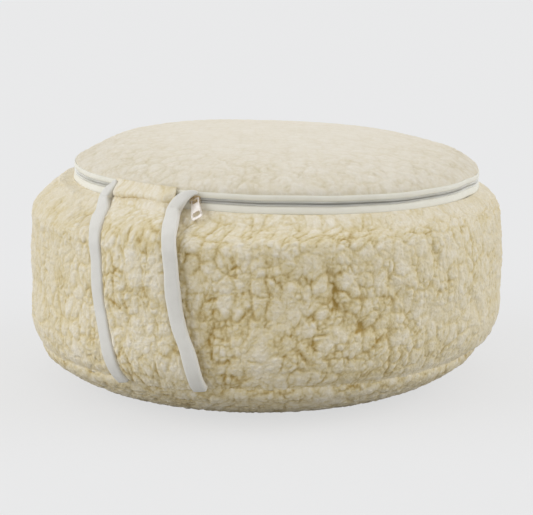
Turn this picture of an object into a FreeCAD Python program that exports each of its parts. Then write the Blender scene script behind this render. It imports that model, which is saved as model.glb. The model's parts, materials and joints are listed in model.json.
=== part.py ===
"""Round fleece pet cushion bed: a zipped removable cover over a fibre-filled insert.

Millimetres and degrees. +Z is up, the front is -Y, and the origin is on the floor under the
middle of the belly. An angle round the bed is counted from the front towards +X.
"""
import FreeCAD, Part
import Sketcher
import math
import os
from FreeCAD import Placement, Rotation, Vector

DIMENSIONS = {
    # side band, from its bottom seam up: its radius at each level, and how far off the middle
    "seamRadius": 212.0,
    "seamHeight": 42.0,
    "seamShiftX": -6.5,
    "seamShiftY": -4.5,
    "haunchRadius": 224.5,
    "haunchHeight": 57.0,
    "haunchShare": 0.7,
    "bellyRadius": 230.0,
    "bellyHeight": 105.0,
    "chestRadius": 229.0,
    "chestHeight": 146.0,
    "shoulderRadius": 225.5,
    "shoulderHeight": 168.0,
    "shoulderShare": 0.2,
    "shoulderShiftX": -2.0,
    "neckRadius": 208.5,
    "neckDrop": 18.0,
    "neckShiftX": 0.0,
    "bandTopRadius": 198.0,
    "bandTopDrop": 7.5,
    "bandTopShiftX": 0.0,
    # zip ring: its centre, its radius, and how the stuffed bed makes it lean
    "zipRadius": 195.1,
    "zipHeight": 201.5,
    "zipShiftX": 10.0,
    "leanAngle": 2.1,
    "leanTowards": 40.0,
    # top panel and bottom panel are shallow domes
    "domeRadius": 197.0,
    "domeRise": 35.0,
    "domeStart": 6.0,
    "bowlDepth": 59.4,
    # layers, from outside to inside
    "fleece": 10.0,
    "ease": 1.5,
    "liner": 1.2,
    "fillGap": 0.4,
    # closure panel that covers both ends of the zip, and the tape that binds its edges
    "panelGap": 0.5,
    "panelThick": 9.0,
    "panelTop": 5.7,
    "panelRight": -17.4,
    "panelLeft": -38.9,
    "panelTilt": 11.5,
    "panelPivot": 118.0,
    "bindingArc": 3.0,
    "bindingProud": 1.2,
    # zip: two tapes, two coils, three stops
    "tapeHalfThick": 0.3,
    "tapeInner": 2.2,
    "coilRadius": 0.8,
    "coilOffset": 1.3,
    "tapeStart": -27.0,
    "tapeSweep": 345.0,
    "coilStart": -25.4,
    "coilSweep": 341.0,
    "stopLength": 2.0,
    "stopHalfThick": 1.2,
    # slider
    "sliderAngle": -21.2,
    "sliderHalfLength": 4.75,
    "sliderNoseHalf": 3.9,
    "sliderTailHalf": 3.6,
    "channelHalfDepth": 1.2,
    "channelHalfHeight": 2.6,
    "plateThick": 1.0,
    "slotHalf": 0.6,
    "dividerHalf": 0.2,
    "dividerStart": 0.6,
    "dividerEnd": 3.0,
    "sliderCorner": 1.1,
    "bridgeLeft": -3.6,
    "bridgeRight": 3.0,
    "bridgeInner": 3.8,
    "bridgeThick": 0.6,
    "bridgeHalfWidth": 0.7,
    "bridgeBend": 0.55,
    # pull tab, hooked on the bridge and lying askew on the fleece
    "tabThick": 1.1,
    "tabLength": 20.5,
    "tabNeckHalf": 4.2,
    "tabNeckLength": 2.0,
    "tabEndHalf": 6.2,
    "tabCorner": 2.6,
    "eyeHalf": 3.0,
    "eyeLength": 3.6,
    "tabBar": 0.5,
    "gripHoleAt": 15.4,
    "gripHoleHalf": 3.9,
    "gripHoleTall": 4.4,
    "gripCorner": 2.1,
    "tabPivotX": 0.4,
    "tabPivotZ": 0.3,
    "tabPivotOut": 3.0,
    "tabSkew": 30.0,
    "tabLean": 38.0,
}

doc = FreeCAD.newDocument("PetCushionBed")
sheet = doc.addObject("Spreadsheet::Sheet", "Sizes")
for row, (alias, value) in enumerate(DIMENSIONS.items(), start=1):
    sheet.set(f"A{row}", alias)
    sheet.set(f"B{row}", str(value))
    sheet.setAlias(f"B{row}", alias)
doc.recompute()


def size(alias):
    """The value of one cell of the sheet."""
    return float(sheet.get(alias))


def cells(words):
    """Turns an expression with aliases in square brackets into one that reads the sheet."""
    for alias in DIMENSIONS:
        words = words.replace(f"[{alias}]", f"Sizes.{alias}")
    return words


def value(words):
    """What an expression with aliases in square brackets comes to."""
    return float(sheet.evalExpression(cells(words)))


def add(kind, name, **sizes):
    """A new object whose sizes follow the sheet; an alias is written in square brackets."""
    made = doc.addObject(kind, name)
    for prop, words in sizes.items():
        made.setExpression(prop, cells(words))
    return made


def cut(name, base, tool):
    made = doc.addObject("Part::Cut", name)
    made.Base = base
    made.Tool = tool
    return made


# The zip ring's own frame: origin at the middle of the ring, +Z along the axis it turns about.
leanWay = math.radians(size("leanTowards"))
leanAxis = Vector(math.cos(leanWay), math.sin(leanWay), 0)
zipFrame = Placement(
    Vector(size("zipShiftX"), 0, size("zipHeight")), Rotation(leanAxis, size("leanAngle"))
)


def around(angle):
    """Turns a shape that starts on +X so that it starts at this angle from the front."""
    return Placement(Vector(0, 0, 0), Rotation(Vector(0, 0, 1), angle - 90))


# ---- side band and everything that follows its shape --------------------------------------

INSIDE_COVER = "[fleece] + [ease]"
INSIDE_LINER = INSIDE_COVER + " + [liner]"
FILL_SURFACE = INSIDE_LINER + " + [fillGap]"


def hoop(name, level, inset, place):
    """The drum's circle at one named level, drawn in by inset."""
    circle = add("Part::Circle", f"{name}_{level}", Radius=f"[{level}Radius] - ({inset})")
    circle.Placement = place
    return circle


def upright(level, share):
    """A level place above the floor, this share of the way off to the bottom seam's middle."""
    shift = Vector(size("seamShiftX") * share, size("seamShiftY") * share, size(f"{level}Height"))
    return Placement(shift, Rotation())


def leaning(level, share):
    """A place that has this share of the zip ring's lean and shift."""
    shift = Vector(size("zipShiftX") * share, 0, size(f"{level}Height"))
    return Placement(shift, Rotation(leanAxis, size("leanAngle") * share))


def below(level):
    """A place this far below the zip ring and to one side of its axis."""
    shift = Vector(size(f"{level}ShiftX"), 0, -size(f"{level}Drop"))
    return zipFrame * Placement(shift, Rotation())


def sideways(level):
    """A move along X by a level's own shift."""
    return Placement(Vector(size(f"{level}ShiftX"), 0, 0), Rotation())


def drum(name, inset):
    """The drum's solid, drawn in by inset, from the bottom seam to the band's top edge."""
    places = {
        "seam": upright("seam", 1.0),
        "haunch": upright("haunch", size("haunchShare")),
        "belly": upright("belly", 0.0),
        "chest": leaning("chest", 0.0),
        "shoulder": sideways("shoulder") * leaning("shoulder", size("shoulderShare")),
        "neck": below("neck"),
        "bandTop": below("bandTop"),
    }
    loft = doc.addObject("Part::Loft", name)
    loft.Sections = [hoop(name, level, inset, place) for level, place in places.items()]
    loft.Solid = True
    loft.Ruled = False
    return loft


def collared(name, inset, top):
    """The same drum with an upright collar that goes on up, past the zip, to the level top."""
    collar = add(
        "Part::Cylinder",
        name + "_collar",
        Radius=f"[bandTopRadius] - ({inset})",
        Height=f"({top}) + [bandTopDrop]",
    )
    collar.Placement = below("bandTop")
    both = doc.addObject("Part::Fuse", name)
    both.Base = drum(name + "_drum", inset)
    both.Tool = collar
    return both


def wedge(name, start, sweep):
    """A slice of the bed's whole height, from the angle start and going on towards +X.

    It leans over sideways, because the cover has twisted on its insert.
    """
    slice_ = add("Part::Cylinder", name, Radius="[bellyRadius] * 1.3", Height="[zipHeight] * 1.8")
    slice_.setExpression("Angle", cells(sweep))
    middle = math.radians(size("panelLeft") + size("panelRight")) / 2
    outward = Vector(math.sin(middle), -math.cos(middle), 0)
    lean = Placement(Vector(0, 0, size("panelPivot")), Rotation(outward, size("panelTilt")))
    centred = Placement(Vector(0, 0, -size("zipHeight") * 0.9), Rotation())
    slice_.Placement = lean * centred * around(start)
    return slice_


def sector(name, shell, start, sweep):
    """The part of a shell that lies in one slice."""
    part = doc.addObject("Part::Common", name)
    part.Base = shell
    part.Tool = wedge(name + "_slice", start, sweep)
    return part


side_band = cut("side_band", drum("band_outer", "0"), drum("band_inner", "[fleece]"))

panelInner = collared("panel_inner", "-[panelGap]", "[panelTop]")
panelOuter = collared("panel_outer", "-([panelGap] + [panelThick])", "[panelTop]")
boundOuter = collared("bound_outer", "-([panelGap] + [panelThick] + [bindingProud])", "[panelTop]")
panelShell = cut("panel_shell", panelOuter, panelInner)
boundShell = cut("bound_shell", boundOuter, panelInner)
bindingArc = size("bindingArc")
closure_panel = sector(
    "closure_panel",
    panelShell,
    size("panelLeft") + bindingArc,
    "[panelRight] - [panelLeft] - 2 * [bindingArc]",
)
panel_binding_right = sector(
    "panel_binding_right", boundShell, size("panelRight") - bindingArc, "[bindingArc]"
)
panel_binding_left = sector(
    "panel_binding_left", boundShell, size("panelLeft"), "[bindingArc]"
)

# ---- bottom panel: a shallow bowl with a flat foot ----------------------------------------


def bowl(name, inset):
    """The lower half of an ellipsoid under the bottom seam, cut flat this far above the floor."""
    round_ = add(
        "Part::Ellipsoid",
        name + "_round",
        Radius1=f"[bowlDepth] - ({inset})",
        Radius2=f"[seamRadius] - ({inset})",
    )
    round_.Radius3 = 0
    round_.Angle2 = 0
    round_.Placement = upright("seam", 1.0)
    slab = add(
        "Part::Cylinder",
        name + "_slab",
        Radius="[seamRadius] * 1.2",
        Height=f"[seamHeight] - ({inset})",
    )
    slab.Placement = Placement(
        Vector(size("seamShiftX"), size("seamShiftY"), value(inset)), Rotation()
    )
    flat = doc.addObject("Part::Common", name)
    flat.Base = round_
    flat.Tool = slab
    return flat


bottom_panel = cut("bottom_panel", bowl("bottom_outer", "0"), bowl("bottom_inner", "[fleece]"))

# ---- top panel: a dome that stands on the zip ring ----------------------------------------


def dome(name, inset):
    """The upper half of an ellipsoid, standing on the top panel's edge."""
    made = add(
        "Part::Ellipsoid",
        name,
        Radius1=f"[domeRise] - ({inset})",
        Radius2=f"[domeRadius] - ({inset})",
    )
    made.Radius3 = 0
    made.Angle1 = 0
    made.Placement = zipFrame * Placement(Vector(0, 0, size("domeStart")), Rotation())
    return made


top_panel = cut("top_panel", dome("top_outer", "0"), dome("top_inner", "[fleece]"))

# ---- insert: a sewn cotton case stuffed with fibre -----------------------------------------

insert_side_band = cut(
    "insert_side_band",
    collared("insert_outer", INSIDE_COVER, "[panelTop]"),
    collared("insert_inner", INSIDE_LINER, "[panelTop]"),
)
insert_top_panel = cut(
    "insert_top_panel", dome("case_top_outer", INSIDE_COVER), dome("case_top_inner", INSIDE_LINER)
)
insert_bottom_panel = cut(
    "insert_bottom_panel",
    bowl("case_bottom_outer", INSIDE_COVER),
    bowl("case_bottom_inner", INSIDE_LINER),
)
insert_fill = doc.addObject("Part::MultiFuse", "insert_fill")
insert_fill.Shapes = [
    bowl("fill_bottom", FILL_SURFACE),
    collared("fill_middle", FILL_SURFACE, "[domeStart]"),
    dome("fill_top", FILL_SURFACE),
]

# ---- zip: tapes, coils and stops, in the ring's frame --------------------------------------


def tape(name, low, high):
    """A strip of tape standing on edge round the ring, between two levels."""
    outer = add(
        "Part::Cylinder",
        name + "_outer",
        Radius="[zipRadius] + [tapeHalfThick]",
        Height=f"({high}) - ({low})",
        Angle="[tapeSweep]",
    )
    inner = add(
        "Part::Cylinder",
        name + "_inner",
        Radius="[zipRadius] - [tapeHalfThick]",
        Height=f"({high}) - ({low})",
    )
    outer.Placement = around(size("tapeStart"))
    strip = cut(name, outer, inner)
    strip.Placement = zipFrame * Placement(Vector(0, 0, value(low)), Rotation())
    return strip


zip_tape_lower = tape("zip_tape_lower", "-[bandTopDrop]", "-[tapeInner]")
zip_tape_upper = tape("zip_tape_upper", "[tapeInner]", "[domeStart]")


def coil(name, level):
    """The outer shape of one row of coil."""
    ring = add(
        "Part::Torus",
        name,
        Radius1="[zipRadius]",
        Radius2="[coilRadius]",
        Angle3="[coilSweep]",
    )
    ring.Placement = (
        zipFrame * Placement(Vector(0, 0, level), Rotation()) * around(size("coilStart"))
    )
    return ring


zip_coil_lower = coil("zip_coil_lower", -size("coilOffset"))
zip_coil_upper = coil("zip_coil_upper", size("coilOffset"))


def stop(name, angle, low, high):
    """A crimped block at the end of a coil, from one level to another."""
    block = add(
        "Part::Box",
        name,
        Length="[stopLength]",
        Width="2 * [stopHalfThick]",
        Height=f"({high}) - ({low})",
    )
    outside = -size("zipRadius") - size("stopHalfThick")
    corner = Vector(-size("stopLength") / 2, outside, value(low))
    turned = Placement(Vector(0, 0, 0), Rotation(Vector(0, 0, 1), angle))
    block.Placement = zipFrame * turned * Placement(corner, Rotation())
    return block


halfStop = math.degrees(size("stopLength") / size("zipRadius")) * 0.6
startStop = size("coilStart") - halfStop
endStop = size("coilStart") + size("coilSweep") + halfStop
INNER_EDGE = "[coilOffset] - [coilRadius]"
OUTER_EDGE = "[coilOffset] + [coilRadius]"
zip_top_stop_upper = stop("zip_top_stop_upper", startStop, INNER_EDGE, OUTER_EDGE)
zip_top_stop_lower = stop("zip_top_stop_lower", startStop, f"-({OUTER_EDGE})", f"-({INNER_EDGE})")
zip_bottom_stop = stop("zip_bottom_stop", endStop, f"-({OUTER_EDGE})", OUTER_EDGE)

# ---- slider and pull tab: drawn flat, then set on the ring ----------------------------------
# Their own axes at the ring: +X along the zip, -Y outwards, +Z up.

sliderFrame = (
    zipFrame
    * Placement(Vector(0, 0, 0), Rotation(Vector(0, 0, 1), size("sliderAngle")))
    * Placement(Vector(0, -size("zipRadius"), 0), Rotation())
)


def plane(body, role):
    """One of a body's own origin planes."""
    return next(part for part in body.Origin.OriginFeatures if part.Role == role)


def outline(body, name, role, corners):
    """A sketch of straight lines through corners, each held by two distances from the origin."""
    sketch = body.newObject("Sketcher::SketchObject", name)
    sketch.AttachmentSupport = [(plane(body, role), "")]
    sketch.MapMode = "FlatFace"
    spots = [Vector(value(across), value(up), 0) for across, up in corners]
    count = len(spots)
    for n in range(count):
        sketch.addGeometry(Part.LineSegment(spots[n], spots[(n + 1) % count]))
    for n in range(count):
        sketch.addConstraint(Sketcher.Constraint("Coincident", n, 2, (n + 1) % count, 1))
    for n, (across, up) in enumerate(corners):
        for kind, words in (("DistanceX", across), ("DistanceY", up)):
            held = sketch.addConstraint(Sketcher.Constraint(kind, -1, 1, n, 1, value(words)))
            sketch.setExpression(f"Constraints[{held}]", cells(words))
    return sketch


def pad(body, name, sketch, length):
    """Thickens a sketch evenly to both sides of its plane."""
    made = body.newObject("PartDesign::Pad", name)
    made.Profile = sketch
    made.Midplane = True
    made.setExpression("Length", cells(length))
    return made


def pocket(body, name, sketch):
    """Cuts a sketch right through, to both sides of its plane."""
    made = body.newObject("PartDesign::Pocket", name)
    made.Profile = sketch
    made.Midplane = True
    made.Type = "ThroughAll"
    return made


def rounded(body, name, radius, wanted):
    """Fillets the edges of the body's last feature that wanted picks out."""
    doc.recompute()
    last = body.Tip
    picked = [f"Edge{n}" for n, edge in enumerate(last.Shape.Edges, start=1) if wanted(edge)]
    made = body.newObject("PartDesign::Fillet", name)
    made.Base = (last, picked)
    made.setExpression("Radius", cells(radius))
    return made


def runsAlong(edge, way):
    """True for a straight edge that runs along a direction."""
    if edge.Curve.TypeId != "Part::GeomLine":
        return False
    return abs(edge.tangentAt(edge.FirstParameter).dot(way)) > 0.999


zip_slider_body = doc.addObject("PartDesign::Body", "zip_slider_body")
shield = outline(
    zip_slider_body,
    "slider_shield",
    "XZ_Plane",
    [
        ("-[sliderHalfLength]", "-[sliderNoseHalf]"),
        ("[sliderHalfLength]", "-[sliderTailHalf]"),
        ("[sliderHalfLength]", "[sliderTailHalf]"),
        ("-[sliderHalfLength]", "[sliderNoseHalf]"),
    ],
)
pad(zip_slider_body, "slider_block", shield, "2 * ([channelHalfDepth] + [plateThick])")
rounded(zip_slider_body, "slider_corners", "[sliderCorner]", lambda edge: runsAlong(edge, Vector(0, 1, 0)))
channel = outline(
    zip_slider_body,
    "slider_channel",
    "YZ_Plane",
    [
        ("-[channelHalfDepth]", "-[channelHalfHeight]"),
        ("-[slotHalf]", "-[channelHalfHeight]"),
        ("-[slotHalf]", "-2 * [sliderNoseHalf]"),
        ("[slotHalf]", "-2 * [sliderNoseHalf]"),
        ("[slotHalf]", "-[channelHalfHeight]"),
        ("[channelHalfDepth]", "-[channelHalfHeight]"),
        ("[channelHalfDepth]", "[channelHalfHeight]"),
        ("[slotHalf]", "[channelHalfHeight]"),
        ("[slotHalf]", "2 * [sliderNoseHalf]"),
        ("-[slotHalf]", "2 * [sliderNoseHalf]"),
        ("-[slotHalf]", "[channelHalfHeight]"),
        ("-[channelHalfDepth]", "[channelHalfHeight]"),
    ],
)
# the block is split into two plates here, and the divider joins them again
pocket(zip_slider_body, "slider_way", channel)
divider = outline(
    zip_slider_body,
    "slider_divider",
    "XZ_Plane",
    [
        ("-[sliderHalfLength] + [dividerStart]", "-[dividerHalf]"),
        ("-[sliderHalfLength] + [dividerEnd]", "-[dividerHalf]"),
        ("-[sliderHalfLength] + [dividerEnd]", "[dividerHalf]"),
        ("-[sliderHalfLength] + [dividerStart]", "[dividerHalf]"),
    ],
)
pad(zip_slider_body, "slider_post", divider, "2 * [channelHalfDepth] + [plateThick]")
zip_slider_body.Placement = sliderFrame

zip_slider_bridge = doc.addObject("PartDesign::Body", "zip_slider_bridge")
arch = outline(
    zip_slider_bridge,
    "bridge_arch",
    "XY_Plane",
    [
        ("[bridgeLeft]", "-([channelHalfDepth] + [plateThick])"),
        ("[bridgeLeft]", "-([bridgeInner] + [bridgeThick])"),
        ("[bridgeRight]", "-([bridgeInner] + [bridgeThick])"),
        ("[bridgeRight]", "-([channelHalfDepth] + [plateThick])"),
        ("[bridgeRight] - [bridgeThick]", "-([channelHalfDepth] + [plateThick])"),
        ("[bridgeRight] - [bridgeThick]", "-[bridgeInner]"),
        ("[bridgeLeft] + [bridgeThick]", "-[bridgeInner]"),
        ("[bridgeLeft] + [bridgeThick]", "-([channelHalfDepth] + [plateThick])"),
    ],
)
pad(zip_slider_bridge, "bridge_strap", arch, "2 * [bridgeHalfWidth]")
outside = -(size("bridgeInner") + size("bridgeThick"))
rounded(
    zip_slider_bridge,
    "bridge_bends",
    "[bridgeBend]",
    lambda edge: runsAlong(edge, Vector(0, 0, 1)) and abs(edge.CenterOfMass.y - outside) < 0.01,
)
zip_slider_bridge.Placement = sliderFrame

zip_pull_tab = doc.addObject("PartDesign::Body", "zip_pull_tab")
leaf = outline(
    zip_pull_tab,
    "tab_leaf",
    "XZ_Plane",
    [
        ("-[tabNeckHalf]", "[tabBar]"),
        ("-[tabNeckHalf]", "-[eyeLength] - [tabNeckLength]"),
        ("-[tabEndHalf]", "-[tabLength]"),
        ("[tabEndHalf]", "-[tabLength]"),
        ("[tabNeckHalf]", "-[eyeLength] - [tabNeckLength]"),
        ("[tabNeckHalf]", "[tabBar]"),
    ],
)
pad(zip_pull_tab, "tab_plate", leaf, "[tabThick]")
rounded(
    zip_pull_tab,
    "tab_end",
    "[tabCorner]",
    lambda edge: runsAlong(edge, Vector(0, 1, 0)) and edge.CenterOfMass.z < 0.1 - size("tabLength"),
)
eye = outline(
    zip_pull_tab,
    "tab_eye",
    "XZ_Plane",
    [
        ("-[eyeHalf]", "-[tabBar]"),
        ("-[eyeHalf]", "-[tabBar] - [eyeLength]"),
        ("[eyeHalf]", "-[tabBar] - [eyeLength]"),
        ("[eyeHalf]", "-[tabBar]"),
    ],
)
pocket(zip_pull_tab, "tab_eye_cut", eye)
grip = outline(
    zip_pull_tab,
    "tab_grip",
    "XZ_Plane",
    [
        ("-[gripHoleHalf]", "-[gripHoleAt] - [gripHoleTall] / 2"),
        ("[gripHoleHalf]", "-[gripHoleAt] - [gripHoleTall] / 2"),
        ("[gripHoleHalf]", "-[gripHoleAt] + [gripHoleTall] / 2"),
        ("-[gripHoleHalf]", "-[gripHoleAt] + [gripHoleTall] / 2"),
    ],
)
pocket(zip_pull_tab, "tab_grip_cut", grip)
gripHalf = size("gripHoleHalf")
rounded(
    zip_pull_tab,
    "tab_grip_ends",
    "[gripCorner]",
    lambda edge: runsAlong(edge, Vector(0, 1, 0))
    and abs(abs(edge.CenterOfMass.x) - gripHalf) < 0.01
    and edge.CenterOfMass.z < -size("gripHoleAt") + size("gripHoleTall"),
)
pivot = Vector(size("tabPivotX"), -size("tabPivotOut"), size("tabPivotZ"))
skew = Rotation(Vector(0, 1, 0), -size("tabSkew"))
lean = Rotation(Vector(1, 0, 0), -size("tabLean"))
tabFrame = sliderFrame * Placement(pivot, skew * lean)
zip_pull_tab.Placement = tabFrame

# ---- check and write ------------------------------------------------------------------------

nodes = [
    side_band,
    closure_panel,
    panel_binding_right,
    panel_binding_left,
    bottom_panel,
    top_panel,
    zip_tape_lower,
    zip_tape_upper,
    zip_coil_lower,
    zip_coil_upper,
    zip_top_stop_upper,
    zip_top_stop_lower,
    zip_bottom_stop,
    zip_slider_body,
    zip_slider_bridge,
    zip_pull_tab,
    insert_top_panel,
    insert_side_band,
    insert_bottom_panel,
    insert_fill,
]
doc.recompute()
for thing in doc.Objects:
    if "Invalid" in thing.State or "Error" in thing.State:
        raise RuntimeError(f"{thing.Name} failed: {thing.State}")
os.makedirs("parts", exist_ok=True)
for node in nodes:
    node.Label = node.Name
    shape = node.Shape
    if shape.isNull() or not shape.isValid() or len(shape.Solids) != 1:
        raise RuntimeError(f"{node.Name} is not one valid solid ({len(shape.Solids)} solids)")
    shape.exportStep(f"parts/{node.Label}.step")
    box = shape.BoundBox
    print(
        f"{node.Label}: {shape.Volume / 1000:.2f} cm3, "
        f"x {box.XMin:.1f}..{box.XMax:.1f} y {box.YMin:.1f}..{box.YMax:.1f} "
        f"z {box.ZMin:.1f}..{box.ZMax:.1f}"
    )
for name, frame in (("zip ring", zipFrame), ("slider", sliderFrame), ("pull tab", tabFrame)):
    axes = [frame.Rotation.multVec(Vector(*way)) for way in ((1, 0, 0), (0, 1, 0), (0, 0, 1))]
    print(name, "at", tuple(round(v, 3) for v in frame.Base))
    for axis in axes:
        print("   axis", tuple(round(v, 6) for v in axis))
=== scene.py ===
import bpy
import json
import math
import numpy as np
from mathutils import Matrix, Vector


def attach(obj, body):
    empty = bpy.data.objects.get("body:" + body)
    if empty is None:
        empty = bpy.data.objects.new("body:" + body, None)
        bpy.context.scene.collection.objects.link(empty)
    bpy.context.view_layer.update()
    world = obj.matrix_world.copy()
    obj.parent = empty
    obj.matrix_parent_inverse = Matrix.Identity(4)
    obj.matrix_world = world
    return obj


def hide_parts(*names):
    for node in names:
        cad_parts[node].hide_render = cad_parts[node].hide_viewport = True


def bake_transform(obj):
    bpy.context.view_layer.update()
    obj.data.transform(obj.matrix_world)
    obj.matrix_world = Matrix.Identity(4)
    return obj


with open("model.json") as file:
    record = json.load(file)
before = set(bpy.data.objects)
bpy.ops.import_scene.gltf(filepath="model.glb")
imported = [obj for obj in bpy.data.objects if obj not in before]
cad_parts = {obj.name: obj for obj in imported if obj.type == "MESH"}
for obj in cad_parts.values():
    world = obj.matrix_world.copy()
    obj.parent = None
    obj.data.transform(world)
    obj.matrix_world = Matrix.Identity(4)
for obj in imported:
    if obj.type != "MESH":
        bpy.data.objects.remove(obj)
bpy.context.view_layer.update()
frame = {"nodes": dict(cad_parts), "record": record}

mm = 0.001
scene = bpy.context.scene

# camera and view

look = {
    "cameraAt": (0.0, -1.400, 0.3808),
    "pitchDown": 0.194,  # radians below level
    "lens": 97.1,
    "sensor": 36.0,
    "rise": 0.0128,  # the frame sits a little high on the lens
}

cameraData = bpy.data.cameras.new("camera")
cameraData.lens = look["lens"]
cameraData.sensor_width = look["sensor"]
cameraData.shift_y = look["rise"]
cameraData.clip_end = 200
camera = bpy.data.objects.new("camera", cameraData)
camera.location = look["cameraAt"]
camera.rotation_euler = (math.pi / 2 - look["pitchDown"], 0, 0)
scene.collection.objects.link(camera)
scene.camera = camera
scene.view_settings.view_transform = "Standard"

# shape of the bed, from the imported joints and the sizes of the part

joints = {joint["name"]: joint for joint in frame["record"]["behaviour"]["joints"]}
zipCentre = np.array(joints["slider_travel"]["pos_m"]) / mm
zipUp = np.array(joints["slider_travel"]["axis"])
hingeAt = np.array(joints["lid_fold"]["pos_m"])

bed = {
    # level by level from the bottom seam up: radius, middle x, y, z, and share of the ring's lean
    "levels": (
        (212.0, -6.5, -4.5, 42.0, 0.0),
        (224.5, -4.55, -3.15, 57.0, 0.0),
        (230.0, 0.0, 0.0, 105.0, 0.0),
        (229.0, 0.0, 0.0, 146.0, 0.0),
        (225.5, 0.0, 0.0, 168.0, 0.2),
    ),
    "neck": (208.5, 18.0, 0.0),  # radius, drop below the ring along its axis, and shift along X
    "bandTop": (198.0, 7.5, 0.0),
    "domeRadius": 197.0,
    "domeRise": 35.0,
    "domeStart": 6.0,
    "bowlRadius": 212.0,
    "bowlDepth": 59.4,
    "fleece": 10.0,
    "zipRadius": 195.1,
}

leanAxis = np.cross((0, 0, 1), zipUp)
leanAxis /= np.linalg.norm(leanAxis)
leanAngle = math.acos(zipUp[2])


def turnAbout(points, axis, angle):
    # Rodrigues: p cos a + (k x p) sin a + k (k . p)(1 - cos a); angle may differ from point to point
    angle = np.asarray(angle)[..., None]
    along = (points @ axis)[..., None] * axis
    return points * np.cos(angle) + np.cross(axis, points) * np.sin(angle) + along * (1 - np.cos(angle))


def onRing(phi, radius, level):
    # a point at angle phi (radians from the front towards +X), radius and level in the ring's own frame
    flat = np.stack(np.broadcast_arrays(radius * np.sin(phi), -radius * np.cos(phi), level + 0.0 * phi), -1)
    return turnAbout(flat, leanAxis, np.full(flat.shape[:-1], leanAngle)) + zipCentre


def curveThrough(knots, values, at):
    # cubic through the values, with each slope the mean of the slopes either side of its knot
    knots = np.asarray(knots, float)
    values = np.asarray(values, float)
    steps = np.diff(values, axis=0) / np.diff(knots)[:, None]
    slopes = np.vstack([steps[:1], (steps[:-1] + steps[1:]) / 2, steps[-1:]])
    at = np.clip(at, knots[0], knots[-1])
    n = np.clip(np.searchsorted(knots, at, side="right") - 1, 0, len(knots) - 2)
    gap = (knots[n + 1] - knots[n])[..., None]
    t = (at - knots[n])[..., None] / gap
    a, b = values[n], values[n + 1]
    return (
        a * (2 * t**3 - 3 * t**2 + 1)
        + slopes[n] * gap * (t**3 - 2 * t**2 + t)
        + b * (3 * t**2 - 2 * t**3)
        + slopes[n + 1] * gap * (t**3 - t**2)
    )


def bandLevels():
    rows = list(bed["levels"])
    for radius, drop, shift in (bed["neck"], bed["bandTop"]):
        rows.append((radius, *(zipCentre - zipUp * drop + np.array([shift, 0, 0])), 1.0))
    rows = np.array(rows)
    climb = np.hypot(np.diff(rows[:, 0]), np.diff(rows[:, 3]))
    return np.concatenate([[0], np.cumsum(climb)]), rows


bandKnots, bandRows = bandLevels()
bandLength = bandKnots[-1]


def bandPoint(phi, climb):
    # the band's outer surface: climb is the distance in mm up the profile from the bottom seam
    phi, climb = np.broadcast_arrays(np.asarray(phi, float), np.asarray(climb, float))
    row = curveThrough(bandKnots, bandRows, climb)
    radius, lean = row[..., 0], row[..., 4] * leanAngle
    flat = np.stack([radius * np.sin(phi), -radius * np.cos(phi), 0 * radius], -1)
    return turnAbout(flat, leanAxis, lean) + row[..., 1:4]


def bandOffset(phi, climb, out):
    # the same surface moved out along its normal, found from two short steps on it
    step = 0.4
    here = bandPoint(phi, climb)
    side = bandPoint(phi + 0.002, climb) - bandPoint(phi - 0.002, climb)
    low, high = np.clip(climb - step, 0, bandLength), np.clip(climb + step, 0, bandLength)
    up = bandPoint(phi, high) - bandPoint(phi, low)
    normal = np.cross(side, up)
    normal /= np.linalg.norm(normal, axis=-1, keepdims=True)
    return here + normal * np.asarray(out)[..., None]


# meshes


def gridFaces(rows, columns, wrapRows=False, wrapColumns=False, start=0):
    # quads of a grid of points counted row by row
    r = np.arange(rows if wrapRows else rows - 1)[:, None]
    c = np.arange(columns if wrapColumns else columns - 1)[None, :]
    r2, c2 = (r + 1) % rows, (c + 1) % columns
    corners = (r * columns + c, r * columns + c2, r2 * columns + c2, r2 * columns + c)
    return np.stack(np.broadcast_arrays(*corners), -1).reshape(-1, 4) + start


def makePiece(name, points, faces, material, body="cover", smooth=True, **numbers):
    # points in mm; faces is a list of arrays of quads or triangles; numbers are values stored on the points
    mesh = bpy.data.meshes.new(name)
    points = np.asarray(points, float).reshape(-1, 3)
    mesh.vertices.add(len(points))
    mesh.vertices.foreach_set("co", (points * mm).astype(np.float32).ravel())
    sizes = np.concatenate([np.full(len(part), part.shape[1]) for part in faces])
    corners = np.concatenate([part.ravel() for part in faces])
    mesh.loops.add(len(corners))
    mesh.loops.foreach_set("vertex_index", corners.astype(np.int32))
    mesh.polygons.add(len(sizes))
    starts = np.concatenate([[0], np.cumsum(sizes)[:-1]])
    mesh.polygons.foreach_set("loop_start", starts.astype(np.int32))
    mesh.polygons.foreach_set("use_smooth", np.full(len(sizes), smooth))
    for key, values in numbers.items():
        stored = mesh.attributes.new(key, "FLOAT", "POINT")
        stored.data.foreach_set("value", np.asarray(values, np.float32).ravel())
    mesh.update(calc_edges=True)
    mesh.validate()
    mesh.materials.append(material)
    piece = bpy.data.objects.new(name, mesh)
    scene.collection.objects.link(piece)
    if body:
        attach(piece, body)
    return piece


def normalsOf(points, wrapColumns=False):
    # unit normals of a grid of points, from the differences along its rows and columns
    if wrapColumns:
        padded = np.concatenate([points[:, -1:], points, points[:, :1]], 1)
        across = (padded[:, 2:] - padded[:, :-2]) / 2
    else:
        across = np.gradient(points, axis=1)
    up = np.gradient(points, axis=0)
    normal = np.cross(across, up)
    return normal / np.maximum(np.linalg.norm(normal, axis=-1, keepdims=True), 1e-9)


# fleece pile


def scatter(i, j, seed):
    # three even random numbers from 0 to 1 for each cell of a grid, always the same for the same cell
    base = i * 127.1 + j * 311.7 + seed * 74.7
    return [np.mod(np.sin(base + turn) * 43758.5453, 1.0) for turn in (0.0, 19.19, 51.37)]


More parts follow.
